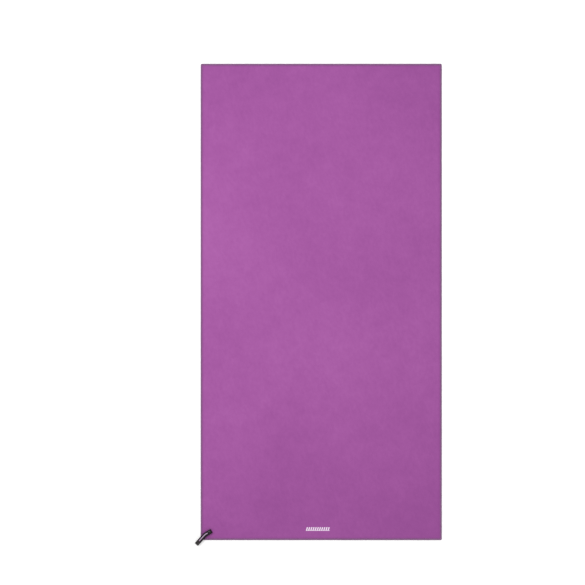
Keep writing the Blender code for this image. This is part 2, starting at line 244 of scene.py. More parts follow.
rng = np.random.default_rng(SEED)
waves = []
for _ in range(WAVE_COUNT):
    length = rng.uniform(*WAVE_LENGTHS)
    turn = rng.uniform(0, pi)
    waves.append((cos(turn) * 2 * pi / length, sin(turn) * 2 * pi / length, rng.uniform(0, 2 * pi)))
still_spots = [box_middle("print_mark"), box_middle("loop_sewn_tab")]


def lift(x, y):
    """How far the towel stands off the floor at a place."""
    total = sum(np.sin(kx * x + ky * y + phase) for kx, ky, phase in waves)
    height = WAVE_HEIGHT * np.clip(0.5 + 0.5 * total / sqrt(WAVE_COUNT), 0, WAVE_CREST)
    edge = np.minimum(half_width - np.abs(x), half_length - np.abs(y))
    around = (x * np.sign(y) + y * np.sign(x)) * 2 * pi / RUFFLE_LENGTH
    ruffle = RUFFLE_HEIGHT * (1 + np.sin(around)) / 2 * (1 - faded(edge, RUFFLE_REACH))
    calm = 1
    for spot in still_spots:
        calm = calm * faded(np.hypot(x - spot.x, y - spot.y) - CALM_RADIUS / 2, CALM_RADIUS)
    return (height + ruffle) * calm


class Wire:
    """An output of a material's nodes. Arithmetic on it adds Math nodes."""

    def __init__(self, tree, socket=None):
        self.tree = tree
        self.socket = socket

    def node(self, kind, settings=None, values=None, outlet=0):
        """Add a node: its settings first, then the values or wires of its sockets."""
        made = self.tree.nodes.new(kind)
        for name, value in (settings or {}).items():
            setattr(made, name, value)
        for name, value in (values or {}).items():
            if isinstance(value, Wire):
                self.tree.links.new(value.socket, made.inputs[name])
            else:
                made.inputs[name].default_value = value
        return Wire(self.tree, made.outputs[outlet])

    def math(self, operation, other=0):
        """A Math node on this value, and on another where the operation takes two."""
        return self.node("ShaderNodeMath", {"operation": operation}, {0: self, 1: other})

    def __add__(self, other):
        return self.math("ADD", other)

    def __sub__(self, other):
        return self.math("SUBTRACT", other)

    def __rsub__(self, other):
        return self.node("ShaderNodeMath", {"operation": "SUBTRACT"}, {0: other, 1: self})

    def __mul__(self, other):
        return self.math("MULTIPLY", other)

    __radd__ = __add__
    __rmul__ = __mul__

    def vector_math(self, operation, other=(0, 0, 0), outlet=0):
        """A Vector Math node on this place and another. Numbers come from outlet 1."""
        settings = {"operation": operation}
        return self.node("ShaderNodeVectorMath", settings, {0: self, 1: other}, outlet)

    def split(self):
        """This place's three numbers."""
        separated = self.node("ShaderNodeSeparateXYZ", None, {"Vector": self}).socket.node
        return [Wire(self.tree, number) for number in separated.outputs]

    def mixed(self, low, high):
        """A colour between two others, by this value, from a Mix node's colour sockets."""
        settings = {"data_type": "RGBA", "clamp_factor": True}
        return self.node("ShaderNodeMix", settings, {0: self, 6: low, 7: high}, outlet=2)

    def noise(self, scale, detail=2.0, roughness=0.5):
        """Cloudy values about 0.5, read at this place."""
        values = {"Vector": self, "Scale": scale, "Detail": detail, "Roughness": roughness}
        return self.node("ShaderNodeTexNoise", None, values)

    def stretched(self, lengths, turn):
        """This place for grain that is longer along some axes, turned about Z."""
        values = {"Vector": self, "Scale": lengths, "Rotation": (0, 0, turn)}
        return self.node("ShaderNodeMapping", {"vector_type": "TEXTURE"}, values)

    def bump(self, distance, strength):
        """A normal for a surface this much raised."""
        values = {"Height": self, "Distance": distance, "Strength": strength}
        return self.node("ShaderNodeBump", None, values)


def new_finish(name, place, **uniform):
    """A material, its shader and the place it reads, which is an attribute or the object's own."""
    made = bpy.data.materials.new(name)
    made.use_nodes = True
    tree = made.node_tree
    shader = tree.nodes["Principled BSDF"]
    for socket, value in uniform.items():
        shader.inputs[socket.replace("_", " ")].default_value = value
    if place:
        where = Wire(tree).node("ShaderNodeAttribute", {"attribute_name": place}, outlet=1)
    else:
        where = Wire(tree).node("ShaderNodeTexCoord", outlet=3)
    return made, shader, where


def feed(shader, **wires):
    """Link wires to a shader's sockets."""
    for socket, wire in wires.items():
        wire.tree.links.new(wire.socket, shader.inputs[socket.replace("_", " ")])


towel = start_piece(
    "towel_sheet", bpy.ops.mesh.primitive_grid_add,
    x_subdivisions=ceil(2 * half_width / CLOTH_CELL),
    y_subdivisions=ceil(2 * half_length / CLOTH_CELL),
    size=1, location=(0, 0, cloth_top),
)
towel.scale = (2 * (half_width - cloth_inset), 2 * (half_length - cloth_inset), 1)
in_place(towel)
cuts = []
for inset in (margin, margin + MARGIN_SLOPE):
    cuts += [((side * (half_width - inset), 0, 0), (1, 0, 0)) for side in (-1, 1)]
    cuts += [((0, side * (half_length - inset), 0), (0, 1, 0)) for side in (-1, 1)]
fold_rows = [fold_line + FOLD_SPREAD * row / FOLD_ROWS for row in range(FOLD_ROWS + 1)]
cuts += [((0, row, 0), (0, 1, 0)) for row in fold_rows]
bpy.ops.object.mode_set(mode="EDIT")
for place, across in cuts:
    bpy.ops.mesh.select_all(action="SELECT")
    bpy.ops.mesh.bisect(plane_co=place, plane_no=across)
bpy.ops.mesh.select_mode(type="VERT")
bpy.ops.mesh.select_all(action="DESELECT")
bpy.ops.object.mode_set(mode="OBJECT")
rim_middle = (margin + cloth_inset) / 2
for point in towel.data.vertices:
    at_side = abs(point.co.x) > half_width - rim_middle
    at_end = abs(point.co.y) > half_length - rim_middle
    point.select = at_side and at_end
bpy.ops.object.mode_set(mode="EDIT")
bpy.ops.mesh.bevel(
    affect="VERTICES", offset=(corner_radius - cloth_inset) * CORNER_SHARE,
    segments=CORNER_CUTS, profile=CORNER_PROFILE,
)
bpy.ops.mesh.select_all(action="SELECT")
bpy.ops.object.mode_set(mode="OBJECT")
finish_with(towel, "SOLIDIFY", thickness=cloth_top, offset=-1)
cloth = places(towel)
remember(towel, "rest_place", cloth)
rim = np.minimum(half_width - np.abs(cloth[:, 0]), half_length - np.abs(cloth[:, 1]))
pressed = 1 - faded(rim - margin, MARGIN_SLOPE)
under = cloth[:, 2] < cloth_top / 2
cloth[:, 2] += np.where(under, MARGIN_RISE, -MARGIN_DIP) * pressed + lift(cloth[:, 0], cloth[:, 1])
set_places(towel, cloth)
smooth(towel, 50)

suede, suede_shader, at = new_finish(
    "brushed_microfibre", "rest_place", Roughness=0.92, Sheen_Weight=0.22, Sheen_Roughness=0.45,
    Sheen_Tint=CLOTH_SHEEN, Specular_IOR_Level=0.18,
)
across_towel, along_towel, _ = at.split()
from_centre = along_towel - PAINTED_LIGHT_CENTRE
shade = at.noise(SHADE_SCALE, 1.5)
clouds = at.noise(CLOUD_SCALE, 4.0, 0.6)
mottle = at.stretched(*MOTTLE_LAY).noise(MOTTLE_SCALE, 3.0, 0.6)
strokes = at.stretched(*STROKE_LAY).noise(STROKE_SCALE)
slant = at.stretched(*SLANT_LAY).noise(SLANT_SCALE, 2.0, 0.6)
counter = at.stretched(*COUNTER_LAY).noise(COUNTER_SCALE, 2.0, 0.6)
fibre = slant.math("MAXIMUM", counter)
knit = (from_centre * (2 * pi / KNIT_ROW)).math("SINE")
from_side = half_width - across_towel.math("ABSOLUTE")
from_end = half_length - along_towel.math("ABSOLUTE")
from_edge = from_side.math("MINIMUM", from_end)
# Painted shade next to the edging: strongest at the edge, gone at its reach.
painted_edge_shade = (1 - from_edge * (1 / EDGE_SHADE_REACH)).math("MAXIMUM", 0)
# Painted shade: the colour darkens to the right and towards both ends of the towel, and next to the
# edging.
painted_shade = across_towel * PAINTED_SHADE_ACROSS + from_centre * from_centre * PAINTED_SHADE_ALONG
painted_shade = painted_shade + painted_edge_shade * EDGE_SHADE_STRENGTH
tone = (shade - 0.5) * 0.8 + (clouds - 0.5) * 0.6 + (mottle - 0.5) * 0.5
tone = tone + (strokes - 0.5) * 0.35 + (fibre - 0.56) * 1.3 + knit * 0.06 + NAP_MIDDLE - painted_shade
low_half = (tone * 2.0).mixed(CLOTH_DEEP, CLOTH_PURPLE)
feed(suede_shader, Base_Color=(tone * 2.0 - 1.0).mixed(low_half, CLOTH_LIGHT))
nap = strokes * 0.4 + fibre * 0.9 + mottle * 0.8 + knit * 0.04
feed(suede_shader, Normal=nap.bump(NAP_DEPTH, 0.7))
towel.data.materials.append(suede)
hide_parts("towel_cloth_body", "towel_cloth_head")
fold_line + FOLD_SPREAD
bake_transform(towel)

# ---- Overlocked edging --------------------------------------------------------------
# Textured polyester thread on a three-thread overlock. The two loopers lay slanting arms
# over and under the cloth that meet at its edge, and the needle's straight stitches hold
# them 6 mm in from it. One stitch is modelled, then repeated round each side.
STITCH = 0.0020
THREAD = 0.00041               # radius of a looper thread as it is laid
NEEDLE_THREAD = 0.00022        # radius of the needle's thread
CORNER_STEPS = 16              # round each corner of the edging
CORNER_POWER = 0.6             # 1 makes the edging turn in a round corner, less a squarer one
# The thread is the cloth's purple; the darker end of its colour is painted shade along the edge.
THREAD_SHADED_PURPLE = (0.225, 0.102, 0.222, 1)
THREAD_LIGHT = (0.385, 0.188, 0.378, 1)
UNEVEN = 0.00009               # how far one stitch strays from the next
UNEVEN_UP = 0.35               # and what share of that it strays up or down
PLY = 0.00042                  # length of one turn of the yarn's twist
PLY_SLANT = (0.35, 1, 0.8)     # how its turns run over each arm
CRIMP_SCALE = 3200
YARN_DEPTH = 0.00022


def thread_piece(name, routes, radius, sides=6):
    """Thread of this radius along each route of points, closed at both ends."""
    curve = bpy.data.curves.new(name, "CURVE")
    curve.dimensions = "3D"
    curve.bevel_depth = radius
    curve.bevel_resolution = (sides - 4) // 2
    curve.use_fill_caps = True
    for route in routes:
        spline = curve.splines.new("POLY")
        spline.points.add(len(route) - 1)
        for point, place in zip(spline.points, route):
            point.co = (*place, 1)
    made = bpy.data.objects.new(name, curve)
    bpy.context.scene.collection.objects.link(made)
    only(made)
    bpy.ops.object.convert(target="MESH")
    return bpy.context.object


def joined(name, parts):
    """Join meshes into the first of them."""
    bpy.ops.object.select_all(action="DESELECT")
    for part in parts:
        part.select_set(True)
    bpy.context.view_layer.objects.active = parts[0]
    bpy.ops.object.join()
    parts[0].name = name
    parts[0].data.name = name
    return parts[0]


def one_stitch():
    """One stitch along X, with the edging's outer line at Y = 0 and the cloth on its +Y side."""
    over = cloth_top + THREAD * 0.5
    below = MARGIN_RISE - THREAD * 0.5
    middle = (over + below) / 2
    outer = THREAD * 0.85
    inner = margin - NEEDLE_THREAD * 2
    arm = [(0, inner, over - THREAD * 0.4), (STITCH * 0.17, inner * 0.6, over + THREAD * 0.15)]
    arm += [(STITCH * 0.33, outer * 2.2, over), (STITCH * 0.38, outer * 1.1, over - THREAD * 0.5)]
    back = [(STITCH - x, y, z) for x, y, z in reversed(arm)]
    upper = thread_piece("upper_looper", [[*arm, (STITCH * 0.5, outer, middle), *back]], THREAD, 6)
    catch = [(0, inner, below + THREAD * 0.3), (STITCH * 0.22, outer * 2, below)]
    catch.append((STITCH * 0.5, outer * 0.9, middle + THREAD))
    catch += [(STITCH - x, y, z) for x, y, z in reversed(catch[:2])]
    lower = thread_piece("lower_looper", [catch], THREAD * 0.85, 4)
    high = over + THREAD * 0.5
    dash = [(STITCH * 0.03, inner, over - THREAD), (STITCH * 0.5, inner, high)]
    dash.append((STITCH * 0.97, inner, over - THREAD))
    needle = thread_piece("needle_thread", [dash], NEEDLE_THREAD, 4)
    return joined("one_stitch", [upper, lower, needle])


def corner_turn(middle, start):
    """A quarter turn anticlockwise about middle, from the start angle."""
    turn = []
    for step in range(CORNER_STEPS + 1):
        angle = start + pi / 2 * step / CORNER_STEPS
        reach = [copysign(abs(share) ** CORNER_POWER, share) for share in (cos(angle), sin(angle))]
        turn.append(middle + Vector((*reach, 0)) * corner_radius)
    return turn


def edged(name, route, pattern):
    """Repeat the stitch along a route that has the cloth on its left."""
    spans = [(b - a).length for a, b in zip(route, route[1:])]
    length = sum(spans)
    count = round(length / STITCH)
    pitch = length / count
    only(pattern)
    bpy.ops.object.duplicate()
    made = bpy.context.object
    made.name = name
    made.data.name = name
    made.scale.x = pitch / STITCH
    in_place(made)
    finish_with(
        made, "ARRAY", count=count, use_relative_offset=False, use_constant_offset=True,
        constant_offset_displace=(pitch, 0, 0),
    )
    # No two stitches are pulled quite alike.
    stitches = places(made).reshape(count, -1, 3)
    remember(made, "in_stitch", stitches - [[[pitch * i, 0, 0]] for i in range(count)])
    stray = rng.normal(0, UNEVEN, (count, 1, 3)) * [1, 1, UNEVEN_UP]
    points = (stitches + stray).reshape(-1, 3)
    # Each point moves to its distance along the route, with its Y towards the left.
    marks = np.concatenate([[0], np.cumsum(spans)])
    corners = np.array([[p.x, p.y] for p in route])
    run = np.clip(points[:, 0], 0, length)
    steps = np.clip(np.searchsorted(marks, run, side="right") - 1, 0, len(route) - 2)
    headings = np.diff(corners, axis=0)
    headings /= np.linalg.norm(headings, axis=1)[:, None]
    turns = np.unwrap(np.arctan2(headings[:, 1], headings[:, 0]))
    middles = (marks[:-1] + marks[1:]) / 2
    turn = np.interp(run, middles, turns)
    share = ((run - marks[steps]) / (marks[steps + 1] - marks[steps]))[:, None]
    base = corners[steps] * (1 - share) + corners[steps + 1] * share
    x = base[:, 0] - np.sin(turn) * points[:, 1]
    y = base[:, 1] + np.cos(turn) * points[:, 1]
    moved = np.column_stack([x, y, points[:, 2]])
    moved[:, 2] += lift(x, y)
    set_places(made, moved)
    smooth(made, 70)
    return made


pattern = one_stitch()
corner_x = half_width - corner_radius
corner_y = half_length - corner_radius
foot = [
    *corner_turn(Vector((-corner_x, -corner_y, 0)), pi),
    *corner_turn(Vector((corner_x, -corner_y, 0)), -pi / 2),
]
head = [-point for point in foot]
right = [foot[-1], head[0]]
left = [head[-1], foot[0]]

yarn, yarn_shader, at = new_finish(
    "overlock_thread", "in_stitch", Roughness=0.85, Sheen_Weight=0.2, Sheen_Roughness=0.5,
    Specular_IOR_Level=0.2,
)
# The twist runs slantwise over each arm, broken up by the yarn's crimped fibres.
crimp = at.noise(CRIMP_SCALE, 3.0, 0.7)
twist = at.vector_math("DOT_PRODUCT", PLY_SLANT, outlet=1) * (2 * pi / PLY) + crimp * 3.0
ply = twist.math("SINE") * 0.5 + 0.5
feed(yarn_shader, Base_Color=(ply * 0.5 + crimp * 0.9 - 0.2).mixed(THREAD_SHADED_PURPLE, THREAD_LIGHT))
feed(yarn_shader, Normal=(ply * 0.6 + crimp * 0.8).bump(YARN_DEPTH, 0.8))
for word, route, nodes in (
    ("foot_end", foot, ["edge_overlock_foot_end"]),
    ("right", right, ["edge_overlock_right_body", "edge_overlock_right_head"]),
    ("head_end", head, ["edge_overlock_head_end"]),
    ("left", left, ["edge_overlock_left_body", "edge_overlock_left_head"]),
):
    edging = edged(f"overlock_{word}", route, pattern)
    edging.data.materials.append(yarn)
    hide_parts(*nodes)
    if word == "foot_end":
        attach(edging, "towel_body")
    elif word == "head_end":
        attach(edging, "towel_head")
    else:
        fold_line + FOLD_SPREAD
        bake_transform(edging)
bpy.data.objects.remove(pattern, do_unlink=True)

# ---- Printed mark -------------------------------------------------------------------
# A plain row of leaning bars on a rule, cut from pale heat-transfer film and pressed into
# the nap where the cloth lies flat. It has no lettering.
BARS = 11
BAR_WIDTH = 0.0041
RULE_HEIGHT = 0.0016
LEAN = 0.30                    # how far a bar leans, as a share of its height
FILM = 0.00012                 # thickness of the film
FILM_SUNK = 0.00004            # how far it is pressed into the nap
FILM_GRAIN_SCALE = 1400
RUB_SCALE = 260
FILM_DEPTH = 0.0002
FILM_PINK = (0.96, 0.85, 0.97, 1)
FILM_RUBBED = (0.87, 0.69, 0.88, 1)

mark_low, mark_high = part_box("print_mark")
mark_width = mark_high.x - mark_low.x
mark_height = mark_high.y - mark_low.y
bar_height = mark_height - RULE_HEIGHT
bar_pitch = mark_width / BARS
bar_lean = LEAN * bar_height
bar_right = (bar_pitch - bar_lean) / 2
bar_middle = mark_low + Vector((bar_right, RULE_HEIGHT + bar_height / 2, 0))
bar_middle.z = cloth_top - FILM_SUNK
bars = start_piece("mark_bars", bpy.ops.mesh.primitive_plane_add, size=1, location=bar_middle)
bars.scale = (BAR_WIDTH, bar_height, 1)
in_place(bars)
bpy.ops.object.mode_set(mode="EDIT")
bpy.ops.mesh.select_all(action="DESELECT")
bpy.ops.object.mode_set(mode="OBJECT")
for point in bars.data.vertices:
    point.select = point.co.y > bar_middle.y
bpy.ops.object.mode_set(mode="EDIT")
bpy.ops.transform.translate(value=(bar_lean, 0, 0))
bpy.ops.object.mode_set(mode="OBJECT")
finish_with(
    bars, "ARRAY", count=BARS, use_relative_offset=False, use_constant_offset=True,
    constant_offset_displace=(bar_pitch, 0, 0),
)
rule = start_piece(
    "mark_rule", bpy.ops.mesh.primitive_plane_add, size=1,
    location=((mark_low.x + mark_high.x) / 2, mark_low.y + RULE_HEIGHT / 2, cloth_top - FILM_SUNK),
)
rule.scale = (mark_width, RULE_HEIGHT, 1)
in_place(rule)
mark = joined("printed_mark", [bars, rule])
finish_with(mark, "SOLIDIFY", thickness=FILM, offset=1)
finish_with(mark, "BEVEL", width=FILM / 3, segments=2, limit_method="ANGLE")
smooth(mark, 40)
film, film_shader, at = new_finish(
    "pale_transfer_film", None, Roughness=0.5, Specular_IOR_Level=0.35
)
grain = at.noise(FILM_GRAIN_SCALE, 3.0, 0.6)
rubbed = at.noise(RUB_SCALE, 3.0)
feed(film_shader, Base_Color=(rubbed * 1.4 - 0.35).mixed(FILM_RUBBED, FILM_PINK))
feed(film_shader, Normal=(grain * 0.7 + rubbed * 0.3).bump(FILM_DEPTH, 0.5))
mark.data.materials.append(film)
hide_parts("print_mark")
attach(mark, "towel_body")

# ---- Hanging loop -------------------------------------------------------------------
# One length of black nylon webbing with a pale stripe woven down its middle. It starts
# as a tab sewn on the towel, folds back out past the corner, and folds again so that its
# free end comes back over the start, where the press stud shuts it.
WEB_WIDTH = 0.0140
TAB_END_AT = 0.0222            # how far the tab runs out under the loop
FREE_END_AT = -0.0009          # where the free end stops, measured from the same inner fold
BEND_RADIUS = 0.030
SPLIT_AT = 0.030               # the lower run is two pieces that meet here, one for each fold
CELL_ALONG = 0.00042           # of the webbing's mesh
CELL_ACROSS = 0.00037
RIB = 0.00130                  # width of two warp ribs
PICK = 0.00150                 # length of two weft picks
RIB_HEIGHT = 0.00011
RIB_SUNK = 0.6                 # how far the weave is sunk in the webbing, in rib heights
SELVEDGE = 0.0011              # width of the bound edge on each side
SELVEDGE_SUNK = 0.4
SELVEDGE_WAVE = 0.00008        # how far each pick pulls the selvedge in or out
ROUND_SHARE = 0.6              # of the thickness, in from each side, that is rounded off
THINNEST = 0.12                # square of the share of the thickness left at the very side
CUT_END = 0.0005               # length that the hot cut thins at each end
CUT_THIN = 0.55                # and the share of the thickness that it leaves
CUT_CORNER = 0.0016            # radius of the corners of the cut ends
HALF_STRIPE = 0.00155
STRIPE_RAGGED = 0.00010        # how far each pick carries the stripe's edge over
STRIPE_OFF_MIDDLE = 0.0011     # the stripe is woven this far to the right, seen from the towel
STRIPE_END_AT = 0.0128         # the stripe starts this far out from the inner fold
TIP_LENGTH = 0.0125            # of the plain grey tip that the loop folds round
WEAR_SCALE = 700
FILAMENT_SCALE, FILAMENT_LAY = 5200, ((8.0, 1.0, 1.0), 0.0)
WEAVE_DEPTH = 0.00015
WEB_BLACK = (0.006, 0.004, 0.006, 1)
WEB_GREY = (0.018, 0.012, 0.019, 1)
TIP_GREY = (0.050, 0.046, 0.046, 1)
STRIPE_DULL = (0.36, 0.25, 0.37, 1)
STRIPE_PINK = (0.62, 0.46, 0.64, 1)

tab_low, tab_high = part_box("loop_sewn_tab")
up = Vector((0, 0, 1))
inner_axis = Vector(joints["loop_swing"]["pos_m"])
outer_axis = Vector(joints["loop_open"]["pos_m"])
inner_heading = up.cross(Vector(joints["loop_swing"]["axis"])).normalized()
outer_heading = -up.cross(Vector(joints["loop_open"]["axis"])).normalized()
web = tab_high.z - tab_low.z
tab_middle_height = (tab_low.z + tab_high.z) / 2
inner_radius = inner_axis.z - tab_middle_height
lower_height = inner_axis.z + inner_radius
outer_radius = outer_axis.z - lower_height
upper_height = outer_axis.z + outer_radius

# Where the two headings cross in plan, and the arc that eases the bend there.
between = outer_axis - inner_axis
turning = inner_heading.x * outer_heading.y - inner_heading.y * outer_heading.x
to_bend = (between.x * outer_heading.y - between.y * outer_heading.x) / turning
bend_point = inner_axis + inner_heading * to_bend
bend_angle = inner_heading.angle(outer_heading) * (1 if turning > 0 else -1)
bend_cut = BEND_RADIUS * tan(abs(bend_angle) / 2)
bend_start = to_bend - bend_cut
bend_length = BEND_RADIUS * abs(bend_angle)
outer_fold_at = bend_start + bend_length + (outer_axis - bend_point).to_2d().length - bend_cut
run_to_inner = TAB_END_AT + pi * inner_radius
run_to_split = run_to_inner + SPLIT_AT
run_to_outer = run_to_inner + outer_fold_at + pi * outer_radius
run_to_end = run_to_outer + outer_fold_at - FREE_END_AT
tip_middle = run_to_outer - pi * outer_radius / 2


def plan(distance):
    """Points and headings on the loop's middle line, this far out from its inner fold."""
    distance = np.asarray(distance, float)
    start = np.array(inner_axis.to_2d())
    first = np.array(inner_heading.to_2d())
    last = np.array(outer_heading.to_2d())
    first_turn = atan2(first[1], first[0])
    around = np.clip((distance - bend_start) / bend_length, 0, 1) * bend_angle
    radius = BEND_RADIUS * (1 if bend_angle > 0 else -1)
    along = np.minimum(distance, bend_start)[:, None] * first
    chord = np.column_stack([
        np.sin(first_turn + around) - sin(first_turn), cos(first_turn) - np.cos(first_turn + around)
    ]) * radius
    past = np.maximum(distance - bend_start - bend_length, 0)[:, None] * last
    return start + along + chord + past, first_turn + around


def lay(run, across, height):
    """Places of points on the webbing, by how far along, across and off its middle they are."""
    tab = TAB_END_AT
    outer_start = run_to_outer - pi * outer_radius
    stretches = [run < tab, run < run_to_inner, run < outer_start, run < run_to_outer]
    inner_turn = pi - np.clip((run - tab) / inner_radius, 0, pi)
    outer_turn = np.clip((run - outer_start) / outer_radius, 0, pi)
    inner_reach = inner_radius + height
    outer_reach = outer_radius - height
    distance = np.select(
        stretches, [tab - run, 0, run - run_to_inner, outer_fold_at],
        outer_fold_at - (run - run_to_outer),
    )
    # One face of the webbing is down on the tab, up on the lower run and down on the upper run.
    rise = np.select(
        stretches,
        [
            tab_middle_height - height, inner_axis.z + np.cos(inner_turn) * inner_reach,
            lower_height + height, outer_axis.z - np.cos(outer_turn) * outer_reach,
        ],
        upper_height - height,
    )
    out = np.select(
        stretches, [0, -np.sin(inner_turn) * inner_reach, 0, np.sin(outer_turn) * outer_reach], 0
    )
    middle, turn = plan(distance)
    x = middle[:, 0] + np.cos(turn) * out - np.sin(turn) * across
    y = middle[:, 1] + np.sin(turn) * out + np.cos(turn) * across
    return np.column_stack([x, y, rise])


def webbing(name, start, end, first_cut, last_cut):
    """Weave a length of the webbing flat, then lay it round its route."""
    made = start_piece(
        name, bpy.ops.mesh.primitive_grid_add, size=1,
        x_subdivisions=ceil((end - start) / CELL_ALONG), y_subdivisions=ceil(WEB_WIDTH / CELL_ACROSS),
        location=((start + end) / 2, 0, web / 2),
    )
    made.scale = (end - start, WEB_WIDTH, 1)
    in_place(made)
    finish_with(made, "SOLIDIFY", thickness=web, offset=-1)
    flat = places(made)
    run, across, height = flat.T
    remember(made, "on_webbing", np.column_stack([run, across, height]))
    edge = WEB_WIDTH / 2 - np.abs(across)
    ribs = np.sin(across * 2 * pi / RIB)
    picks = np.sin(run * 2 * pi / PICK)
    woven = RIB_HEIGHT * (ribs * picks * 0.75 + np.abs(ribs) * 0.5 - RIB_SUNK)
    binding = RIB_HEIGHT * (np.sin(run * 4 * pi / PICK) * 0.6 - SELVEDGE_SUNK)
    woven = np.where(edge < SELVEDGE, binding, woven)
    side = np.where(height > 0, 1.0, -1.0)
    rounding = 1 - (1 - np.clip(edge / (web * ROUND_SHARE), 0, 1)) ** 2
    thick = (web / 2 + woven) * np.sqrt(np.clip(rounding, THINNEST, 1)) * side
    across = across + np.sign(across) * np.where(edge < CELL_ACROSS / 2, picks * SELVEDGE_WAVE, 0)
    for cut, from_end in ((first_cut, run - start), (last_cut, end - run)):
        if cut:
            thick *= CUT_THIN + (1 - CUT_THIN) * faded(from_end, CUT_END)
            short = np.clip(CUT_CORNER - from_end, 0, CUT_CORNER)
            across *= 1 - (CUT_CORNER - np.sqrt(CUT_CORNER**2 - short**2)) / (WEB_WIDTH / 2)
    set_places(made, lay(run, across, thick))
    only(made)
    bpy.ops.object.mode_set(mode="EDIT")
    bpy.ops.mesh.select_all(action="SELECT")
    bpy.ops.mesh.normals_make_consistent(inside=False)
    bpy.ops.object.mode_set(mode="OBJECT")
    smooth(made, 60)
    return made


nylon, nylon_shader, at = new_finish(
    "striped_nylon_webbing", "on_webbing", Roughness=0.6, Specular_IOR_Level=0.14,
)
along, across, _ = at.split()
ribs = (across * (2 * pi / RIB)).math("SINE")
picks = (along * (2 * pi / PICK)).math("SINE")
weave = ribs * picks * 0.5 + 0.5
ragged = picks * STRIPE_RAGGED + HALF_STRIPE
in_stripe = (across + STRIPE_OFF_MIDDLE).math("ABSOLUTE").math("LESS_THAN", ragged)
from_tip = (along - tip_middle).math("ABSOLUTE")
in_tip = from_tip.math("LESS_THAN", TIP_LENGTH + outer_radius * pi / 2)
in_stripe = in_stripe * (1 - in_tip) * along.math("GREATER_THAN", run_to_inner + STRIPE_END_AT)
in_stripe = in_stripe * along.math("LESS_THAN", run_to_end + FREE_END_AT - STRIPE_END_AT)
wear = at.noise(WEAR_SCALE, 3.0, 0.6)
filament = at.stretched(*FILAMENT_LAY).noise(FILAMENT_SCALE, 1.0)
black = (weave * 0.45 + wear * 0.5 + filament * 0.25 - 0.25).mixed(WEB_BLACK, WEB_GREY)
black = (in_tip * (weave * 0.5 + wear * 0.8)).mixed(black, TIP_GREY)
pale = (weave * 0.7 + wear * 0.3).mixed(STRIPE_DULL, STRIPE_PINK)
feed(nylon_shader, Base_Color=in_stripe.mixed(black, pale))
feed(nylon_shader, Normal=(filament * 0.6 + weave * 0.8).bump(WEAVE_DEPTH, 0.6))

sewn_half = webbing("loop_sewn_half", 0, run_to_split, True, False)
free_half = webbing("loop_free_half", run_to_split, run_to_end, False, True)
for half, nodes, pair, low, high in (
    (sewn_half, ["loop_sewn_tab"], ("towel_body", "loop_lower"), tab_high.z, lower_height - web / 2),
    (
        free_half, ["loop_lower_run", "loop_upper_run"], ("loop_lower", "loop_upper"),
        lower_height + web / 2, upper_height - web / 2,
    ),
):
    half.data.materials.append(nylon)
    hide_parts(*nodes)
    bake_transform(half)

# ---- Box stitching ------------------------------------------------------------------
# Bonded black thread sewn as a box with a cross in it, through the tab and the towel,
# just past the press stud. It shows on the tab and again on the towel's underside.
BOX_START = 0.0128             # where the box starts and ends along the tab
BOX_END = 0.0208
BOX_HALF = 0.0054
SEW_STITCH = 0.0021
SEW_THREAD = 0.00019
SEW_GAP = 0.00022              # between the needle's hole and each stitch's end
SEW_HIGH = 0.7                 # how high a stitch's middle stands, in thread radii
SEW_PLY_SCALE = 3500
SEW_DEPTH = 0.0002
BONDED_BLACK = (0.012, 0.011, 0.012, 1)
BONDED_WORN = (0.045, 0.040, 0.045, 1)


def sewn_line(start, end, surface, side):
    """Stitches from one place to another, on a surface that faces up (1) or down (-1)."""
    length = (end - start).length
    count = round(length / SEW_STITCH)
    step = (end - start) / count
    inset = step.normalized() * SEW_GAP
    stitches = []
    for number in range(count):
        a = start + step * number + inset
        b = start + step * (number + 1) - inset
        low = Vector((0, 0, surface - side * SEW_THREAD))
        high = Vector((0, 0, surface + side * SEW_THREAD * SEW_HIGH))
        fifth = (b - a) / 5
        stitches.append([a + low, a + fifth + high, b - fifth + high, b + low])
    return stitches


def on_tab(distance, across):
    """A place on the tab, seen from above."""
    middle, turn = plan([distance])
    x = middle[0, 0] - sin(turn[0]) * across
    y = middle[0, 1] + cos(turn[0]) * across
    return Vector((x, y, 0))


corners = [on_tab(BOX_START, BOX_HALF), on_tab(BOX_END, BOX_HALF)]
corners += [on_tab(BOX_END, -BOX_HALF), on_tab(BOX_START, -BOX_HALF)]
box_lines = list(zip(corners, corners[1:] + corners[:1]))
box_lines += [(corners[0], corners[2]), (corners[1], corners[3])]
bonded, bonded_shader, at = new_finish("bonded_black_thread", None, Roughness=0.55)
ply = at.noise(SEW_PLY_SCALE)
feed(bonded_shader, Base_Color=ply.mixed(BONDED_BLACK, BONDED_WORN), Normal=ply.bump(SEW_DEPTH, 0.5))
for name, surface, side in (
    ("box_stitch_top", tab_high.z, 1), ("box_stitch_under", SEW_THREAD * SEW_HIGH, -1)
):
    lines = [stitch for line in box_lines for stitch in sewn_line(*line, surface, side)]
    sewing = thread_piece(name, lines, SEW_THREAD, 8)
    smooth(sewing, 60)
    sewing.data.materials.append(bonded)
    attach(sewing, "towel_body")
    if side > 0:
        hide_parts("loop_box_stitch")

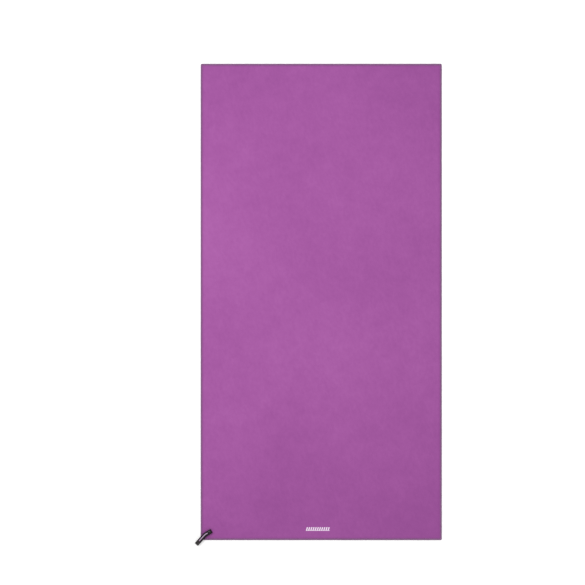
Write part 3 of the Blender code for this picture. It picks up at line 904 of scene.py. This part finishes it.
# ---- Press stud ---------------------------------------------------------------------
# Four pressed and turned pieces and a spring. The cap's rivet holds the socket under the
# webbing's free end, and the post's rivet holds the stud on the lower run. The ring
# spring in the socket snaps round the stud's knob.
TURN_STEPS = 72
TURNED_EDGE = 0.00012          # how much the turned edges are rounded off
KNOB_EDGE = 0.00006
CAP_EDGE = 0.00005
MERGE = 0.000002               # points closer than this are one
SHANK = 0.0014                 # radius of the rivets' shanks
KNOB = 0.00205                 # radius of the stud's knob
NECK = 0.0016                  # and of its neck
FLANGE = 0.0008                # thickness of the stud's and the post's flanges
DISH = 0.00018                 # how deep the flat faces are dished
SHANK_GAP = 0.0002             # round the post's shank in the stud
SHANK_HEADROOM = 0.0001
MOUTH_GAP = 0.0003             # round the stud's knob in the socket
GROOVE_GAP = 0.0002            # round the spring in its groove
GROOVE_HEADROOM = 0.0001
CAP_RIM = 0.00085              # height of the cap's side
CROWN_SHARE = 0.95             # of the cap's radius, that its crown takes up
CAP_GROOVE = 0.68              # where the groove round the crown is, as a share of its radius
GROOVE_HALF = 0.05             # half of the groove's width, as such a share
GROOVE_DEPTH = 0.00010
DOME_STEPS = 12
SPRING_WIRE = 0.00035          # radius of the spring's wire
SPRING_GAP = radians(26)
SPRING_STEPS = 60
TURNING_MARKS = 42000          # how fine the turning marks are, in radians of wave a metre
SCUFF_SCALE = 900
SPECK_SCALE = 4200
METAL_DEPTH = 0.00004
PLATED = (0.50, 0.50, 0.51, 1)
PLATED_DULL = (0.30, 0.30, 0.31, 1)
LACQUER = (0.018, 0.014, 0.018, 1)
LACQUER_WORN = (0.048, 0.041, 0.048, 1)

cap_low, cap_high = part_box("snap_cap")
socket_low, socket_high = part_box("snap_socket")
spring_low, spring_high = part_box("snap_spring")
stud_low, stud_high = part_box("snap_stud")
post_low, post_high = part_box("snap_post")
snap_middle = box_middle("snap_cap")
run_top = lower_height + web / 2
upper_top = upper_height + web / 2
upper_bottom = upper_height - web / 2


def turned(name, profile, edge=TURNED_EDGE):
    """Turn a profile of (radius, height) points about the press stud's middle line."""
    mesh = bpy.data.meshes.new(name)
    points = [(snap_middle.x + radius, snap_middle.y, height) for radius, height in profile]
    mesh.from_pydata(points, [(i, i + 1) for i in range(len(points) - 1)], [])
    made = bpy.data.objects.new(name, mesh)
    bpy.context.scene.collection.objects.link(made)
    only(made)
    bpy.ops.object.mode_set(mode="EDIT")
    bpy.ops.mesh.select_all(action="SELECT")
    bpy.ops.mesh.spin(
        steps=TURN_STEPS, angle=2 * pi, center=(snap_middle.x, snap_middle.y, 0), axis=(0, 0, 1)
    )
    bpy.ops.mesh.select_all(action="SELECT")
    bpy.ops.mesh.remove_doubles(threshold=MERGE)
    bpy.ops.mesh.normals_make_consistent(inside=False)
    bpy.ops.object.mode_set(mode="OBJECT")
    finish_with(made, "BEVEL", width=edge, segments=3, limit_method="ANGLE", angle_limit=radians(40))
    smooth(made, 50)
    return made


def turned_metal(name, low, high, **uniform):
    """Metal with fine turning marks round the press stud's middle line, and light wear."""
    made, shader, at = new_finish(name, None, Metallic=1.0, **uniform)
    off = at.vector_math("SUBTRACT", (snap_middle.x, snap_middle.y, 0))
    radius = off.vector_math("MULTIPLY", (1, 1, 0)).vector_math("LENGTH", outlet=1)
    marks = (radius * TURNING_MARKS).math("SINE")
    scuffs = at.noise(SCUFF_SCALE, 4.0, 0.65)
    specks = at.noise(SPECK_SCALE)
    feed(shader, Base_Color=(scuffs * 1.6 - 0.35).mixed(low, high))
    feed(shader, Roughness=scuffs * 0.25 + specks * 0.1 + 0.2)
    feed(shader, Normal=(marks * 0.15 + scuffs + specks * 0.3).bump(METAL_DEPTH, 0.35))
    return made


plated = turned_metal("plated_steel", PLATED_DULL, PLATED)
lacquered = turned_metal(
    "black_lacquered_brass", LACQUER, LACQUER_WORN, Coat_Weight=0.25, Coat_Roughness=0.12
)

post_radius = (post_high.x - post_low.x) / 2
post = turned("stud_post", [
    (0, post_low.z + DISH), (post_radius * 0.6, post_low.z + DISH), (post_radius * 0.8, post_low.z),
    (post_radius, post_low.z + FLANGE * 0.4), (post_radius * 0.97, post_low.z + FLANGE),
    (SHANK, post_low.z + FLANGE), (SHANK, post_high.z), (0, post_high.z),
])

stud_radius = (stud_high.x - stud_low.x) / 2
flange_top = stud_low.z + FLANGE
bore = SHANK + SHANK_GAP
bore_top = post_high.z + SHANK_HEADROOM
stud = turned("stud_knob", [
    (bore, run_top), (stud_radius * 0.96, run_top), (stud_radius, run_top + FLANGE * 0.45),
    (stud_radius * 0.93, flange_top), (stud_radius * 0.62, flange_top - DISH),
    (NECK * 1.35, flange_top - DISH), (NECK, flange_top + 0.0004), (NECK, stud_high.z - 0.0010),
    (KNOB * 0.96, stud_high.z - 0.00075), (KNOB, stud_high.z - 0.0005),
    (KNOB * 0.93, stud_high.z - 0.0002), (NECK * 0.8, stud_high.z), (0, stud_high.z),
    (0, bore_top), (bore, bore_top), (bore, run_top),
], KNOB_EDGE)

socket_radius = (socket_high.x - socket_low.x) / 2
mouth = KNOB + MOUTH_GAP
spring_middle = box_middle("snap_spring")
spring_radius = (spring_high.x - spring_low.x) / 2
groove = spring_radius + GROOVE_GAP
groove_rise = (spring_high.z - spring_low.z) / 2 + GROOVE_HEADROOM
groove_top = spring_middle.z + groove_rise
groove_foot = spring_middle.z - groove_rise
socket = turned("stud_socket", [
    (mouth, socket_low.z), (socket_radius * 0.55, socket_low.z),
    (socket_radius * 0.62, socket_low.z + DISH), (socket_radius * 0.86, socket_low.z + DISH),
    (socket_radius * 0.95, socket_low.z + 0.0004), (socket_radius * 0.80, upper_bottom - 0.0010),
    (socket_radius * 0.84, upper_bottom - 0.0007), (socket_radius, upper_bottom - 0.0006),
    (socket_radius, upper_bottom), (SHANK, upper_bottom), (SHANK, groove_top),
    (groove, groove_top), (groove, groove_foot), (mouth, groove_foot), (mouth, socket_low.z),
])

ring_radius = spring_radius - SPRING_WIRE
ring_turns = [
    SPRING_GAP / 2 + (2 * pi - SPRING_GAP) * step / SPRING_STEPS for step in range(SPRING_STEPS + 1)
]
ring = [spring_middle + Vector((cos(a), sin(a), 0)) * ring_radius for a in ring_turns]
spring = thread_piece("stud_spring", [ring], SPRING_WIRE, 10)
smooth(spring, 60)

cap_radius = (cap_high.x - cap_low.x) / 2
crown = cap_high.z - upper_top - CAP_RIM
dome = []
for step in range(DOME_STEPS + 1):
    share = step / DOME_STEPS
    sunk = GROOVE_DEPTH if abs(share - CAP_GROOVE) < GROOVE_HALF else 0
    dome.append((cap_radius * CROWN_SHARE * share, cap_high.z - crown * share**2 - sunk))
cap = turned("stud_cap", [
    *dome, (cap_radius * 0.99, upper_top + CAP_RIM * 0.72), (cap_radius, upper_top + CAP_RIM * 0.45),
    (cap_radius * 0.985, upper_top + CAP_RIM * 0.18), (cap_radius * 0.94, upper_top),
    (SHANK, upper_top), (SHANK, cap_low.z), (0, cap_low.z),
], CAP_EDGE)

for piece, node, metal, slot, body in (
    (post, "snap_post", plated, "bare_metal", "loop_lower"),
    (stud, "snap_stud", plated, "bare_metal", "loop_lower"),
    (socket, "snap_socket", plated, "bare_metal", "loop_upper"),
    (spring, "snap_spring", plated, "bare_metal", "loop_upper"),
    (cap, "snap_cap", lacquered, "black_metal", "loop_upper"),
):
    piece.data.materials.append(metal)
    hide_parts(node)
    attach(piece, body)
